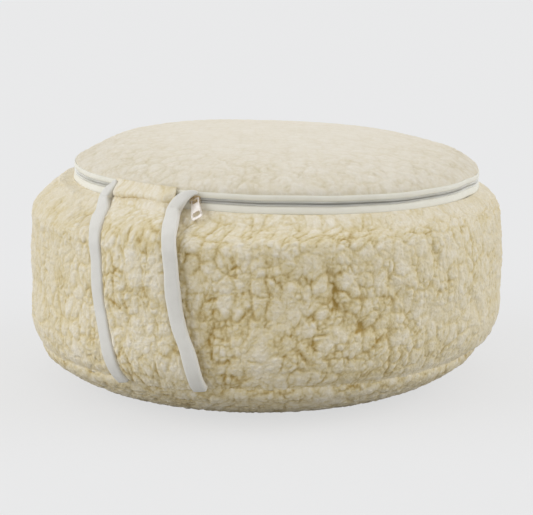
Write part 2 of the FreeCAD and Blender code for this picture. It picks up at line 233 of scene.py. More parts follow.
def cells(x, y, cell, seed, around=None):
    # one point in each cell of a grid: the distance to the nearest, how much further the next one is (0 on
    # the edge between them), and the nearest one's own number
    count = None if around is None else max(3, round(around / cell))
    wide = cell if around is None else around / count
    x, y = x / wide, y / cell
    i0, j0 = np.floor(x), np.floor(y)
    near = np.full(x.shape, 9.0)
    second = near.copy()
    pick = np.zeros(x.shape)
    for di in (-1, 0, 1):
        for dj in (-1, 0, 1):
            i, j = i0 + di, j0 + dj
            key = i if count is None else np.mod(i, count)
            a, b, c = scatter(key, j, seed)
            far = np.hypot(i + 0.1 + 0.8 * a - x, j + 0.1 + 0.8 * b - y) - 0.10 * c
            closer = far < near
            second = np.where(closer, near, np.minimum(second, far))
            pick = np.where(closer, c, pick)
            near = np.where(closer, far, near)
    return near, second - near, pick


def drift(x, y, cell, seed, around=None):
    # slow random change from -1 to 1, smoothed between the corners of a grid
    count = None if around is None else max(3, round(around / cell))
    wide = cell if around is None else around / count
    x, y = x / wide, y / cell
    i0, j0 = np.floor(x), np.floor(y)
    u, v = x - i0, y - j0
    u, v = u * u * (3 - 2 * u), v * v * (3 - 2 * v)
    total = 0
    for di, share in ((0, 1 - u), (1, u)):
        for dj, other in ((0, 1 - v), (1, v)):
            i = i0 + di if count is None else np.mod(i0 + di, count)
            total = total + scatter(i, j0 + dj, seed)[0] * share * other
    return total * 2 - 1


def ramp(value, low, high):
    # 0 below low, 1 above high, smooth between
    t = np.clip((value - low) / (high - low), 0, 1)
    return t * t * (3 - 2 * t)


def bell(value, width):
    # 1 at 0, falling away on both sides: e to the minus (value over width) squared
    return np.exp(-((value / width) ** 2))


pile = {
    "clump": 14.0,  # mm across a group of tufts
    "tuft": 6.2,  # mm across one tuft
    "curl": 2.9,
    "clumpHigh": 1.3,
    "tuftHigh": 1.0,
    "clumpGap": 0.7,  # mm deep, as are the two below: the partings between them
    "tuftGap": 0.55,
    "curlGap": 0.25,
    "tall": 1.2,  # tufts on the band hang a little taller than wide
}


def fleeceHeight(x, y, seed, around=None):
    # height in mm of the pile over its mean surface, and each point's place in the pile, 0 at the roots to
    # 1 at the tips, which the fleece colours as painted shade: round-topped clumps, tufts and curls, less
    # the partings between them, which are coloured darker as the shade down in them
    y = y / pile["tall"]
    wx = x + 2.3 * drift(x, y, 13, seed + 1, around) + 0.8 * drift(x, y, 5, seed + 2, around)
    wy = y + 2.3 * drift(x, y, 13, seed + 3, around) + 0.8 * drift(x, y, 5, seed + 4, around)
    clumpNear, clumpEdge, clumpPick = cells(wx, wy, pile["clump"], seed + 5, around)
    tuftNear, tuftEdge, tuftPick = cells(wx, wy, pile["tuft"], seed + 6, around)
    curlEdge = cells(wx + 0.5, wy, pile["curl"], seed + 7, around)[1]
    # the partings fade in and out along their length
    clumpFade = 0.25 + 0.6 * ramp(drift(x, y, 16, seed + 9, around), -0.6, 0.6)
    tuftFade = 0.2 + 0.8 * ramp(drift(x, y, 9, seed + 10, around), -0.5, 0.7)
    curlFade = 0.4 + 0.6 * ramp(drift(x, y, 6, seed + 13, around), -0.5, 0.7)
    clumpGap = bell(clumpEdge, 0.21) * clumpFade
    tuftGap = bell(tuftEdge, 0.36) * tuftFade
    curlGap = bell(curlEdge, 0.45) * curlFade
    fine = drift(wx, wy, 1.6, seed + 8, around)
    high = (
        pile["clumpHigh"] * (0.55 - 1.3 * clumpNear**2)
        + pile["tuftHigh"] * (0.55 - 1.3 * tuftNear**2 + 0.4 * tuftPick)
        - pile["clumpGap"] * clumpGap
        - pile["tuftGap"] * tuftGap
        - pile["curlGap"] * curlGap
        + 0.34 * fine
    )
    # painted shade: the partings are coloured darker, as the shade down in them; the fine drift and each
    # tuft's and clump's own number add random tone
    depth = 0.80 - 0.38 * clumpGap - 0.32 * tuftGap - 0.18 * curlGap + 0.10 * fine
    depth = depth + 0.16 * (tuftPick - 0.5) + 0.10 * (clumpPick - 0.5)
    return high, np.clip(depth, 0, 1)


# materials


def linear(hexColour):
    # sRGB hex to linear red, green, blue and alpha
    parts = [int(hexColour[i : i + 2], 16) / 255 for i in (1, 3, 5)]
    return tuple(c / 12.92 if c <= 0.04045 else ((c + 0.055) / 1.055) ** 2.4 for c in parts) + (1.0,)


def addNode(tree, kind, links=None, **settings):
    # one node with its settings; links maps an input to a socket of another node or to a value
    node = tree.nodes.new(kind)
    for key, value in settings.items():
        setattr(node, key, value)
    for key, value in (links or {}).items():
        if isinstance(value, bpy.types.NodeSocket):
            tree.links.new(value, node.inputs[key])
        else:
            node.inputs[key].default_value = value
    return node


def newMaterial(name, **values):
    # a material with one Principled shader whose even values are set on its own sockets
    material = bpy.data.materials.new(name)
    material.use_nodes = True
    tree = material.node_tree
    shader = next(node for node in tree.nodes if node.type == "BSDF_PRINCIPLED")
    for key, value in values.items():
        shader.inputs[key].default_value = value
    return material, tree, shader


def colourRamp(tree, factor, stops):
    node = addNode(tree, "ShaderNodeValToRGB", {"Fac": factor})
    while len(node.color_ramp.elements) < len(stops):
        node.color_ramp.elements.new(0.5)
    for element, (at, colour) in zip(node.color_ramp.elements, stops):
        element.position = at
        element.color = linear(colour)
    return node.outputs["Color"]


fleeceColours = {
    # roots, middle and tips of the pile; the roots' colours are painted shade down in the pile, and the
    # top's set, paler at the roots and flatter, is the same fleece painted as lit from above
    "band": ("#AF914A", "#DCCB9C", "#F0E7D2"),
    "top": ("#D3C7A6", "#DED4BC", "#E9E2D2"),
}


def fleeceMaterial(name, shadedRoot, middle, tip, contrast=1.0):
    # sherpa fleece: knitted polyester with a curled pile, dull and soft, its roots painted warmer and
    # darker than the tips as the shade down in the pile, with fine loose fibre that catches light at a
    # glancing angle
    material, tree, shader = newMaterial(name, Roughness=0.95)
    shader.inputs["Sheen Weight"].default_value = 0.35
    shader.inputs["Sheen Roughness"].default_value = 0.6
    shader.inputs["Sheen Tint"].default_value = linear("#FFF7E8")
    shader.inputs["Specular IOR Level"].default_value = 0.12
    where = addNode(tree, "ShaderNodeTexCoord").outputs["Object"]
    depth = addNode(tree, "ShaderNodeAttribute", attribute_name="pile").outputs["Fac"]
    blotch = addNode(tree, "ShaderNodeTexNoise", {"Vector": where, "Scale": 28.0, "Detail": 2.0})
    centred = {0: blotch.outputs["Fac"], 1: 0.30, 2: -0.15}
    mixed = addNode(tree, "ShaderNodeMath", centred, operation="MULTIPLY_ADD")
    grain = {"Vector": where, "Scale": 430.0, "Detail": 4.0, "Roughness": 0.75}  # from 2.3 mm down
    fibre = addNode(tree, "ShaderNodeTexNoise", grain)
    centred = {0: fibre.outputs["Fac"], 1: 0.42, 2: -0.21}
    small = addNode(tree, "ShaderNodeMath", centred, operation="MULTIPLY_ADD")
    both = addNode(tree, "ShaderNodeMath", {0: mixed.outputs[0], 1: small.outputs[0]}, operation="ADD")
    total = addNode(tree, "ShaderNodeMath", {0: depth, 1: both.outputs[0]}, operation="ADD")
    colour = colourRamp(tree, total.outputs[0], ((0.10, shadedRoot), (0.48, middle), (0.92, tip)))
    tree.links.new(colour, shader.inputs["Base Color"])
    # curled fibre, drawn 2.4 mm across so that it shows, with the finer grain over it
    curl = addNode(tree, "ShaderNodeTexVoronoi", {"Vector": where, "Scale": 420.0}, feature="F1")
    less = {0: curl.outputs["Distance"], 1: -1.0, 2: fibre.outputs["Fac"]}
    mix = addNode(tree, "ShaderNodeMath", less, operation="MULTIPLY_ADD")
    raised = {"Height": mix.outputs[0], "Strength": 0.55 * contrast, "Distance": 0.0009}
    bump = addNode(tree, "ShaderNodeBump", raised)
    tree.links.new(bump.outputs["Normal"], shader.inputs["Normal"])
    return material


bandFleece = fleeceMaterial("sherpa_fleece_band", *fleeceColours["band"])
# the top's fleece is the band's fleece in a paler, flatter set of colours: painted light from above
topFleece = fleeceMaterial("sherpa_fleece_top", *fleeceColours["top"], contrast=0.7)


def wovenMaterial(name, light, dark, thread, bumpHigh, sheen=0.0):
    # plain weave: two sets of threads over and under each other, thread mm apart
    material, tree, shader = newMaterial(name, Roughness=0.8)
    shader.inputs["Sheen Weight"].default_value = sheen
    where = addNode(tree, "ShaderNodeUVMap", uv_map="cloth").outputs["UV"]
    turn = math.pi * 2 / 20  # one wave of the texture is 2 pi / 20 units long
    scale = turn / thread
    threads = {"Vector": where, "Scale": scale, "Distortion": 0.4, "Detail": 1.0}
    warp = addNode(tree, "ShaderNodeTexWave", threads, bands_direction="X")
    weft = addNode(tree, "ShaderNodeTexWave", threads, bands_direction="Y")
    crossed = {0: warp.outputs["Fac"], 1: weft.outputs["Fac"]}
    weave = addNode(tree, "ShaderNodeMath", crossed, operation="MULTIPLY")
    noise = addNode(tree, "ShaderNodeTexNoise", {"Vector": where, "Scale": 0.09, "Detail": 3.0})
    clouded = {0: noise.outputs["Fac"], 1: 0.5, 2: weave.outputs[0]}
    mixed = addNode(tree, "ShaderNodeMath", clouded, operation="MULTIPLY_ADD")
    colour = colourRamp(tree, mixed.outputs[0], ((0.15, dark), (0.75, light)))
    tree.links.new(colour, shader.inputs["Base Color"])
    raised = {"Height": weave.outputs[0], "Strength": 0.5, "Distance": bumpHigh}
    bump = addNode(tree, "ShaderNodeBump", raised)
    tree.links.new(bump.outputs["Normal"], shader.inputs["Normal"])
    return material


# polyester twill binding: smooth, close threads with a slight satin look
bindingTape = wovenMaterial("twill_binding_tape", "#EDEAE1", "#D8D4C8", 0.7, 0.00012, sheen=0.2)
# knitted polyester zip tape, a little greener and duller than the binding
zipTape = wovenMaterial("zip_tape_weave", "#F6F3E6", "#E4DFCC", 0.8, 0.00012)
# plain cotton case of the insert, matt white
caseCotton = wovenMaterial("cotton_case", "#F4F1EA", "#E2DED3", 0.8, 0.00010, sheen=0.1)


def nylonMaterial():
    # moulded nylon monofilament: milky, half glossy
    material, tree, shader = newMaterial("nylon_coil", Roughness=0.42, IOR=1.53)
    where = addNode(tree, "ShaderNodeTexCoord").outputs["Object"]
    noise = addNode(tree, "ShaderNodeTexNoise", {"Vector": where, "Scale": 60.0, "Detail": 2.0})
    colour = colourRamp(tree, noise.outputs["Fac"], ((0.3, "#F0EEE2"), (0.7, "#FBF9F2")))
    tree.links.new(colour, shader.inputs["Base Color"])
    return material


def lacquerMaterial(name, light, dark):
    # zinc die casting with a thick pale lacquer: smooth and glossy, its colour going at random between a
    # light and a warmer dark; on the slider that dark is painted shade
    material, tree, shader = newMaterial(name, Roughness=0.22, IOR=1.5)
    shader.inputs["Coat Weight"].default_value = 0.6
    shader.inputs["Coat Roughness"].default_value = 0.12
    where = addNode(tree, "ShaderNodeTexCoord").outputs["Object"]
    noise = addNode(tree, "ShaderNodeTexNoise", {"Vector": where, "Scale": 700.0, "Detail": 3.0})
    colour = colourRamp(tree, noise.outputs["Fac"], ((0.35, dark), (0.6, light)))
    tree.links.new(colour, shader.inputs["Base Color"])
    peel = addNode(tree, "ShaderNodeTexNoise", {"Vector": where, "Scale": 1500.0, "Detail": 2.0})
    raised = {"Height": peel.outputs["Fac"], "Strength": 0.12, "Distance": 0.0002}
    bump = addNode(tree, "ShaderNodeBump", raised)
    tree.links.new(bump.outputs["Normal"], shader.inputs["Normal"])
    return material


def metalMaterial():
    # cut and crimped brass strip with a dull nickel plate
    material, tree, shader = newMaterial("plated_stop", Roughness=0.35, Metallic=1.0)
    where = addNode(tree, "ShaderNodeTexCoord").outputs["Object"]
    noise = addNode(tree, "ShaderNodeTexNoise", {"Vector": where, "Scale": 900.0, "Detail": 2.0})
    colour = colourRamp(tree, noise.outputs["Fac"], ((0.3, "#B9B4A6"), (0.7, "#D9D5CA")))
    tree.links.new(colour, shader.inputs["Base Color"])
    return material


nylonCoil = nylonMaterial()
tabLacquer = lacquerMaterial("lacquered_zinc_tab", "#F3EBE0", "#E6D8C6")
# the slider has the tab's pale lacquer; its darker, warmer colours are painted shade where it sits under
# the binding and over the fleece
sliderShadedLacquer = lacquerMaterial("lacquered_zinc_slider_painted_shade", "#E0CBA4", "#B4935A")
stopMetal = metalMaterial()
print("materials made")

# side band

bandShape = {
    "columns": 1380,
    "rows": 205,
    "edgeFade": 15.0,  # mm over which the pile shortens towards a seam
    "belt": 228.0,  # mean radius, which turns an angle into mm round the band
    "leftSwell": 6.0,  # mm by which the stuffing fills the left shoulder
    "rightSag": 2.5,  # and sags on the right
    "seamSwell": 3.0,  # the pile stands out over the bottom seam
    "lap": 1.4,  # the bottom edge laps this far over the bottom panel's rim
}
belt = bandShape["belt"]

creases = (
    # angle from the front and climb at each end, then width and depth in mm: folds where the stuffing pulls
    (12.0, 118.0, 16.0, 62.0, 5.0, 2.6),
    (4.0, 108.0, 10.0, 84.0, 4.0, 1.6),
    (17.0, 60.0, 27.0, 52.0, 5.0, 2.0),
    (-8.0, 66.0, -14.0, 40.0, 5.0, 1.8),
    (27.0, 96.0, 33.0, 66.0, 5.0, 1.8),
    (38.0, 120.0, 44.0, 84.0, 6.0, 1.6),
    (52.0, 70.0, 60.0, 44.0, 6.0, 2.0),
    (90.0, 110.0, 97.0, 60.0, 6.0, 2.2),
    (128.0, 90.0, 134.0, 50.0, 6.0, 2.2),
    (171.0, 118.0, 178.0, 72.0, 6.0, 2.4),
    (214.0, 84.0, 219.0, 40.0, 6.0, 2.0),
    (256.0, 112.0, 263.0, 66.0, 6.0, 2.2),
    (290.0, 70.0, 298.0, 46.0, 6.0, 1.8),
)


def creaseDepth(phi, climb):
    # each fold is a line between two places; its depth falls off with distance from that line
    total = 0
    for fromAngle, fromClimb, toAngle, toClimb, width, deep in creases:
        ax, ay = math.radians(fromAngle) * belt, fromClimb
        bx, by = math.radians(toAngle) * belt, toClimb
        for lap in (0, -2 * math.pi):
            x = (phi + lap) * belt
            square = (bx - ax) ** 2 + (by - ay) ** 2
            t = np.clip(((x - ax) * (bx - ax) + (climb - ay) * (by - ay)) / square, 0, 1)
            away = np.hypot(x - ax - t * (bx - ax), climb - ay - t * (by - ay))
            away = away + 1.5 * drift(x, climb, 9, 77)
            ends = np.sin(np.clip(t, 0.05, 0.95) * math.pi) ** 0.5
            total = total + deep * bell(away, width) * ends
    return total


def bandDents(phi, climb, around):
    # slow swells and hollows of a stuffed cover, in mm
    x = phi * belt
    return 2.0 * drift(x, climb, 92, 41, around) + 1.3 * drift(x, climb, 43, 42, around)


def sideBand():
    # a grid of angle and climb moved out along its normals by the pile and the swells, then an edge, an
    # inner wall and back: a closed ring
    around = 2 * math.pi * belt
    columns, rows = bandShape["columns"], bandShape["rows"]
    phi = np.arange(columns) / columns * 2 * math.pi
    climb = np.linspace(0, bandLength, rows)
    angle, rise = np.meshgrid(phi, climb)
    base = bandPoint(angle, rise)
    normal = normalsOf(base, True)
    fade = ramp(rise, 0, bandShape["edgeFade"]) * ramp(bandLength - rise, 0, bandShape["edgeFade"])
    high, depth = fleeceHeight(angle * belt, rise, 3, around)
    dents = bandDents(angle, rise, around) * fade - creaseDepth(angle, rise)
    # the pile rolls in at the zip
    shoulder = ramp(rise, 118, 152) * ramp(bandLength - rise, 0, 12)
    haunch = ramp(rise, 0, 16) * (1 - ramp(rise, 30, 60))
    roll = -1.0 * (1 - ramp(bandLength - rise, 0, 4))
    roll = roll + bandShape["leftSwell"] * ramp(-np.sin(angle), 0.80, 0.98) * shoulder
    roll = roll + bandShape["seamSwell"] * (1 - ramp(rise, 4, 20))
    roll = roll + bandShape["rightSag"] * np.clip(np.sin(angle), 0, 1) ** 2 * haunch
    outer = base + normal * (high * (0.35 + 0.65 * fade) - 0.6 + dents + roll)[..., None]
    outer[0, :, 2] -= bandShape["lap"]
    outer[1, :, 2] -= bandShape["lap"] / 2
    # painted light and shade: the pile's colour is smoother and paler along the zip, where it lies flat and
    # faces up into the light, and round the sides, where the side lights fall; it is darker in the creases,
    # as shade
    paintedLight = 1 - ramp(bandLength - rise, 4, 34)
    depth = depth - 0.10 * np.clip(creaseDepth(angle, rise), 0, 2.5) + 0.16 * paintedLight
    depth = depth + (0.80 - depth) * (0.5 * np.sin(angle) ** 2 + 0.25 * paintedLight)
    inner = []
    for back, level in ((3.0, bandLength), (8.5, bandLength), (10.0, bandLength - 3)):
        inner.append(base[-1] - normal[-1] * back + (bandPoint(phi, level) - base[-1]))
    for level in np.linspace(bandLength - 14, 8, 12):
        inner.append(bandOffset(phi, np.full(columns, level), np.full(columns, -10.0)))
    for back, level in ((10.0, 2.0), (8.0, 0.0), (3.0, 0.0)):
        inner.append(bandOffset(phi, np.full(columns, level), np.full(columns, -back)))
    inner = np.array(inner)
    points = np.concatenate([outer, inner])
    depth = np.concatenate([depth, np.full(inner.shape[:2], 0.55)])
    faces = gridFaces(len(points), columns, True, True)
    piece = makePiece("side_band_fleece", points, [faces], bandFleece, pile=depth)
    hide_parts("side_band")
    return piece


sideBand()
print("side band made")

# top and bottom panels


def arcTable(radius, rise):
    # the profile of half an ellipse by distance along it, from the crown to the rim
    t = np.linspace(0, math.pi / 2, 800)
    r, z = radius * np.sin(t), rise * np.cos(t)
    along = np.concatenate([[0], np.cumsum(np.hypot(np.diff(r), np.diff(z)))])
    return along, r, z


def roundedSquare(count):
    # a square grid pushed out to a disc: x = u sqrt(1 - v2/2), y = v sqrt(1 - u2/2), so it needs no pole
    u, v = np.meshgrid(np.linspace(-1, 1, count), np.linspace(-1, 1, count))
    x, y = u * np.sqrt(1 - v**2 / 2), v * np.sqrt(1 - u**2 / 2)
    return x, y, np.clip(np.hypot(x, y), 0, 1)


def borderOf(count):
    # the points round the edge of the square grid, in order
    side = np.arange(count - 1)
    return np.concatenate(
        [side, (side + 1) * count - 1, count * count - 1 - side, (count - 1 - side) * count]
    )


panels = {
    "topCount": 330,
    "bottomCount": 290,
    "linerRings": 9,
    "drawnRight": 3.0,  # mm by which the top's rim is drawn in on each side
    "drawnLeft": 5.0,
}


def panelShell(name, count, place, lining, material, depth, body):
    # a disc of fleece with a rim and a lining under it: one closed shell
    outer = place.reshape(-1, 3)
    border = borderOf(count)
    rings = len(lining)
    points = np.concatenate([outer, lining.reshape(-1, 3)[: rings * len(border)]])
    n = len(border)
    start = len(outer)
    faces = [gridFaces(count, count)]
    following = np.roll(border, -1)
    index = np.arange(n)
    after = (index + 1) % n
    faces.append(np.stack([following, border, start + index, start + after], -1))
    for ring in range(rings - 1):
        a, b = start + ring * n, start + (ring + 1) * n
        faces.append(np.stack([a + after, a + index, b + index, b + after], -1))
    middle = points[start + (rings - 1) * n :].mean(0)
    points = np.concatenate([points, middle[None]])
    last = start + (rings - 1) * n
    faces.append(np.stack([last + after, last + index, np.full(n, len(points) - 1)], -1))
    values = np.concatenate([depth.ravel(), np.full(len(points) - len(outer), 0.55)])
    return makePiece(name, points, faces, material, body, pile=values)


def domeAt(x, y, far, radius, rise, level):
    # a place on the dome: far is the share of the way from the crown to the rim, along the surface
    along, r, z = arcTable(radius, rise)
    want = far * along[-1]
    rr, zz = np.interp(want, along, r), np.interp(want, along, z)
    way = np.where(far > 1e-9, far, 1)
    return x / way * rr, y / way * rr, zz + level, want, along[-1]


def topPanel():
    count = panels["topCount"]
    x, y, far = roundedSquare(count)
    px, py, pz, want, full = domeAt(x, y, far, bed["domeRadius"], bed["domeRise"], 0.0)
    angle = np.arctan2(px, -py)
    rr = np.hypot(px, py)
    flat = np.stack([px, py, pz + bed["domeStart"]], -1)
    normal = normalsOf(flat)
    fade = ramp(full - want, 0, 11)
    press = 0.30 + 0.45 * ramp(rr, 110, 185)
    high, depth = fleeceHeight(px + 300, (py + 300) * pile["tall"], 9)
    swell = 1.6 * drift(px, py, 105, 51) + 0.9 * drift(px, py, 48, 52)
    roll = -1.5 * bell(full - want, 4.0)
    # the rim is drawn in a little at both sides
    right = np.clip(np.sin(angle), 0, 1) ** 3 * (1 - ramp(full - want, 10, 34))
    left = np.clip(-np.sin(angle), 0, 1) ** 3 * (1 - ramp(full - want, 12, 60))
    lean = -panels["drawnRight"] * right - panels["drawnLeft"] * left
    move = high * press * (0.4 + 0.6 * fade) - 0.6 + (swell + lean) * fade + roll
    flat = flat + normal * move[..., None]
    place = turnAbout(flat, leanAxis, np.full(flat.shape[:-1], leanAngle)) + zipCentre
    border = borderOf(count)
    phi = angle.ravel()[border]
    rings = []
    for radius, level in ((194.0, bed["domeStart"]), (188.5, bed["domeStart"])):
        rings.append(onRing(phi, np.full(len(phi), radius), np.full(len(phi), level)))
    along, r, z = arcTable(bed["domeRadius"] - bed["fleece"], bed["domeRise"] - bed["fleece"])
    for share in np.linspace(0.97, 0.08, panels["linerRings"]):
        rr2, zz2 = np.interp(share * along[-1], along, r), np.interp(share * along[-1], along, z)
        rings.append(onRing(phi, np.full(len(phi), rr2), np.full(len(phi), zz2 + bed["domeStart"])))
    # painted light: the crevice shade is much weaker over the crown, which is lit from above, and stronger
    # towards the rim
    depth = 0.86 + (depth - 0.86) * (0.45 + 0.45 * ramp(rr, 90, 180))
    piece = panelShell("top_panel_fleece", count, place, np.array(rings), topFleece, depth, None)
    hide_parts("top_panel")
    return piece


def bottomPanel():
    count = panels["bottomCount"]
    x, y, far = roundedSquare(count)
    radius, deep = bed["bowlRadius"], bed["bowlDepth"]
    middle = np.array(bed["levels"][0][1:4])
    px, py, pz, want, full = domeAt(x, y, far, radius, deep, 0.0)
    foot = middle[2]
    # the underside is pressed flat on the floor where the bowl would go lower
    down = np.minimum(pz, foot)
    flat = np.stack([px, py, -down], -1)
    normal = -normalsOf(flat)
    fade = ramp(full - want, 0, 14)
    # pile laid out by distance along the bowl, so that it isn't stretched on the steep side
    spread = want / np.maximum(np.hypot(px, py), 0.001)
    high, depth = fleeceHeight(px * spread + 900, (py * spread + 900) * pile["tall"], 17)
    roll = 3.2 * (1 - ramp(full - want, 3, 24)) - 0.9 * (1 - ramp(full - want, 0, 4))
    pressed = ramp(down, foot - 7, foot - 0.5)
    move = (high * 0.85 * (0.35 + 0.65 * fade) - 0.4 + roll) * (1 - pressed) + (high * 0.25 - 0.8) * pressed
    flat = flat + normal * move[..., None]
    place = flat + middle
    place[..., 2] = np.maximum(place[..., 2], 0.0)
    place = place[:, ::-1]
    depth = depth[:, ::-1]
    x2, y2 = place[..., 0] - middle[0], place[..., 1] - middle[1]
    border = borderOf(count)
    phi = np.arctan2(x2, -y2).ravel()[border]
    rings = []
    for back in (3.0, 8.5):
        r = radius - back
        rings.append(np.stack([r * np.sin(phi), -r * np.cos(phi), 0 * phi], -1) + middle)
    along, r, z = arcTable(radius - bed["fleece"], deep - bed["fleece"])
    for share in np.linspace(0.97, 0.08, panels["linerRings"]):
        rr2 = np.interp(share * along[-1], along, r)
        zz2 = min(np.interp(share * along[-1], along, z), foot - bed["fleece"])
        rings.append(np.stack([rr2 * np.sin(phi), -rr2 * np.cos(phi), 0 * phi - zz2], -1) + middle)
    piece = panelShell("bottom_panel_fleece", count, place, np.array(rings), bandFleece, depth, "cover")
    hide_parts("bottom_panel")
    return piece


lid = topPanel()
bottomPanel()
print("top and bottom panels made")

# closure panel and its bindings

closure = {
    # each side seam: degrees from the front about the bed's middle, and climb; the cover has twisted, so
    # both lean
    "right": (
        (-14.2, 0),
        (-16.0, 37),
        (-18.1, 60),
        (-19.2, 85),
        (-19.8, 111),
        (-20.5, 129),
        (-21.6, 142),
        (-23.6, 168),
    ),
    "left": (
        (-32.6, 0),
        (-35.3, 41),
        (-37.3, 75),
        (-38.0, 110),
        (-39.2, 130),
        (-42.0, 145),
        (-44.5, 168),
    ),
    "radius": 236.0,  # turns an angle into mm across the strip
    "sunk": 4.2,  # mm by which the edges fall away under the tapes
    "foldDeep": 3.4,
    "ridgeHigh": 2.0,
    "inner": 0.6,
    "outer": 9.2,
    "columns": 100,
    "rows": 220,
    "over": 19.0,  # mm that the strip goes on past the band's top edge
}


def seamAt(side, climb):
    # the angle of a side seam at a climb up the band
    table = np.array(closure[side])
    return np.radians(curveThrough(table[:, 1], table[:, :1], climb)[..., 0])


def aboutLevel(turn, climb):
    # the same direction from the bed's middle as an angle about the middle of the band's own level, which
    # may lie to one side: the place where the line meets that level's circle
    row = curveThrough(bandKnots, bandRows, climb)
    x, y, radius = row[..., 1], row[..., 2], row[..., 0]
    dx, dy = np.sin(turn), -np.cos(turn)
    near = x * dx + y * dy
    far = near + np.sqrt(radius**2 - x**2 - y**2 + near**2)
    return np.arctan2(far * dx - x, -(far * dy - y))


def overTop(phi, climb, out):
    # the band's surface moved out, and past its top edge rolled in over the zip to the top panel's edge
    over = np.clip(climb - bandLength, 0, None)
    base = bandOffset(phi, np.minimum(climb, bandLength), out)
    ringPhi = np.arctan2(base[..., 0] - zipCentre[0], -(base[..., 1] - zipCentre[1]))
    bend = ramp(over, 5.0, 17.5)
    radius = bed["bandTop"][0] + out * (1 - 0.97 * bend) - 1.0 * bend
    level = -bed["bandTop"][1] + np.minimum(over, 16.0) + 0.35 * np.clip(over - 16.0, 0, 9)
    wall = onRing(ringPhi, radius, level)
    mix = ramp(over, 0, 3)[..., None]
    return base * (1 - mix) + wall * mix


def closurePanel():
    # a strip of fleece with its four edges turned in: an outer grid and a lining that share their border
    rows, columns = closure["rows"], closure["columns"]
    u, climb = np.meshgrid(np.linspace(0, 1, columns), np.linspace(0, bandLength + closure["over"], rows))
    v = climb / climb.max()
    low = np.minimum(climb, bandLength)
    left, right = seamAt("left", low), seamAt("right", low)
    phi = aboutLevel(left + u * (right - left), low)
    edge = ramp(u, 0, 0.12) * ramp(1 - u, 0, 0.12) * ramp(v, 0, 0.03)
    x = phi * closure["radius"]
    high, depth = fleeceHeight(x + 500, climb, 23)
    top = ramp(climb, bandLength - 30, bandLength - 8)
    swell = 1.2 * drift(x, climb, 45, 61) + 1.6 * np.sin(u * math.pi)
    # a fold where the strip turns in over the zip, and a soft ridge above it
    middle = 0.35 + 0.65 * ramp(u, 0.1, 0.35) * ramp(1 - u, 0.2, 0.5)
    fold = closure["foldDeep"] * bell(climb - bandLength - 1 + 2.5 * np.sin(x / 17), 4.0) * middle
    ridge = closure["ridgeHigh"] * bell(climb - bandLength - 11, 4.5)
    out = closure["outer"] + high * (0.85 - 0.4 * top) * edge - 0.8 + (swell - fold + ridge) * edge
    out = out - closure["sunk"] * (1 - edge)
    outer = overTop(phi, climb, out)
    lifted = 0.4 * ramp(climb, bandLength, bandLength + 6)
    inner = overTop(phi, climb, np.full(phi.shape, closure["inner"]) + lifted)
    points = np.concatenate([outer.reshape(-1, 3), inner.reshape(-1, 3)])
    half = rows * columns
    faces = [gridFaces(rows, columns), gridFaces(rows, columns, start=half)[:, ::-1]]
    r, c = np.arange(rows), np.arange(columns)
    rightSide, leftSide = r[:-1] * columns + columns - 1, (rows - 1 - r[:-1]) * columns
    border = np.concatenate([c[:-1], rightSide, half - 1 - c[:-1], leftSide])
    following = np.roll(border, -1)
    faces.append(np.stack([following, border, border + half, following + half], -1))
    # painted light and shade: the strip is coloured paler and evener towards its top, where it turns up
    # into the light over the zip, and a little darker in the fold
    paintedLight = 0.05 + 0.36 * top - 0.05 * fold
    depth = np.concatenate([(depth * (1 - 0.35 * top) + paintedLight).ravel(), np.full(half, 0.55)])
    piece = makePiece("closure_panel_fleece", points, faces, bandFleece, pile=depth)
    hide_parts("closure_panel")


def sweepLoop(name, spine, side, out, halfWidth, halfThick, square, material, spins):
    # a rounded bar carried along a spine: each section is a superellipse with half width and half thickness
    # across the directions side and out; both ends are closed with a fan
    a = np.arange(spins) / spins * 2 * math.pi
    ca = np.sign(np.cos(a)) * np.abs(np.cos(a)) ** square
    sa = np.sign(np.sin(a)) * np.abs(np.sin(a)) ** square
    points = (
        spine[:, None]
        + side[:, None] * (np.asarray(halfWidth)[:, None] * ca)[..., None]
        + out[:, None] * (np.asarray(halfThick)[:, None] * sa)[..., None]
    )
    count = len(spine)
    faces = [gridFaces(count, spins, wrapColumns=True)]
    ends = np.stack([points[0].mean(0), points[-1].mean(0)])
    flatPoints = np.concatenate([points.reshape(-1, 3), ends])
    i = np.arange(spins)
    j = (i + 1) % spins
    first, last = len(flatPoints) - 2, len(flatPoints) - 1
    top = (count - 1) * spins
    faces.append(np.stack([j, i, np.full(spins, first)], -1))
    faces.append(np.stack([top + i, top + j, np.full(spins, last)], -1))
    piece = makePiece(name, flatPoints, faces, material)
    gone = np.concatenate([[0], np.cumsum(np.linalg.norm(np.diff(spine, axis=0), axis=1))])
    rim = np.concatenate([[0], np.cumsum(np.linalg.norm(np.diff(points[count // 2], axis=0), axis=1))])
    uv = np.stack(np.broadcast_arrays(rim[None, :], gone[:, None]), -1).reshape(-1, 2)
    uv = np.concatenate([uv, [[0, gone[0]], [0, gone[-1]]]])
    giveUv(piece, uv)
    return piece


def giveUv(piece, uv):
    # UVs in mm, so that a weave keeps its real thread spacing
    mesh = piece.data
    corner = np.empty(len(mesh.loops), np.int32)
    mesh.loops.foreach_get("vertex_index", corner)
    layer = mesh.uv_layers.new(name="cloth")
    layer.data.foreach_set("uv", uv[corner].astype(np.float32).ravel())


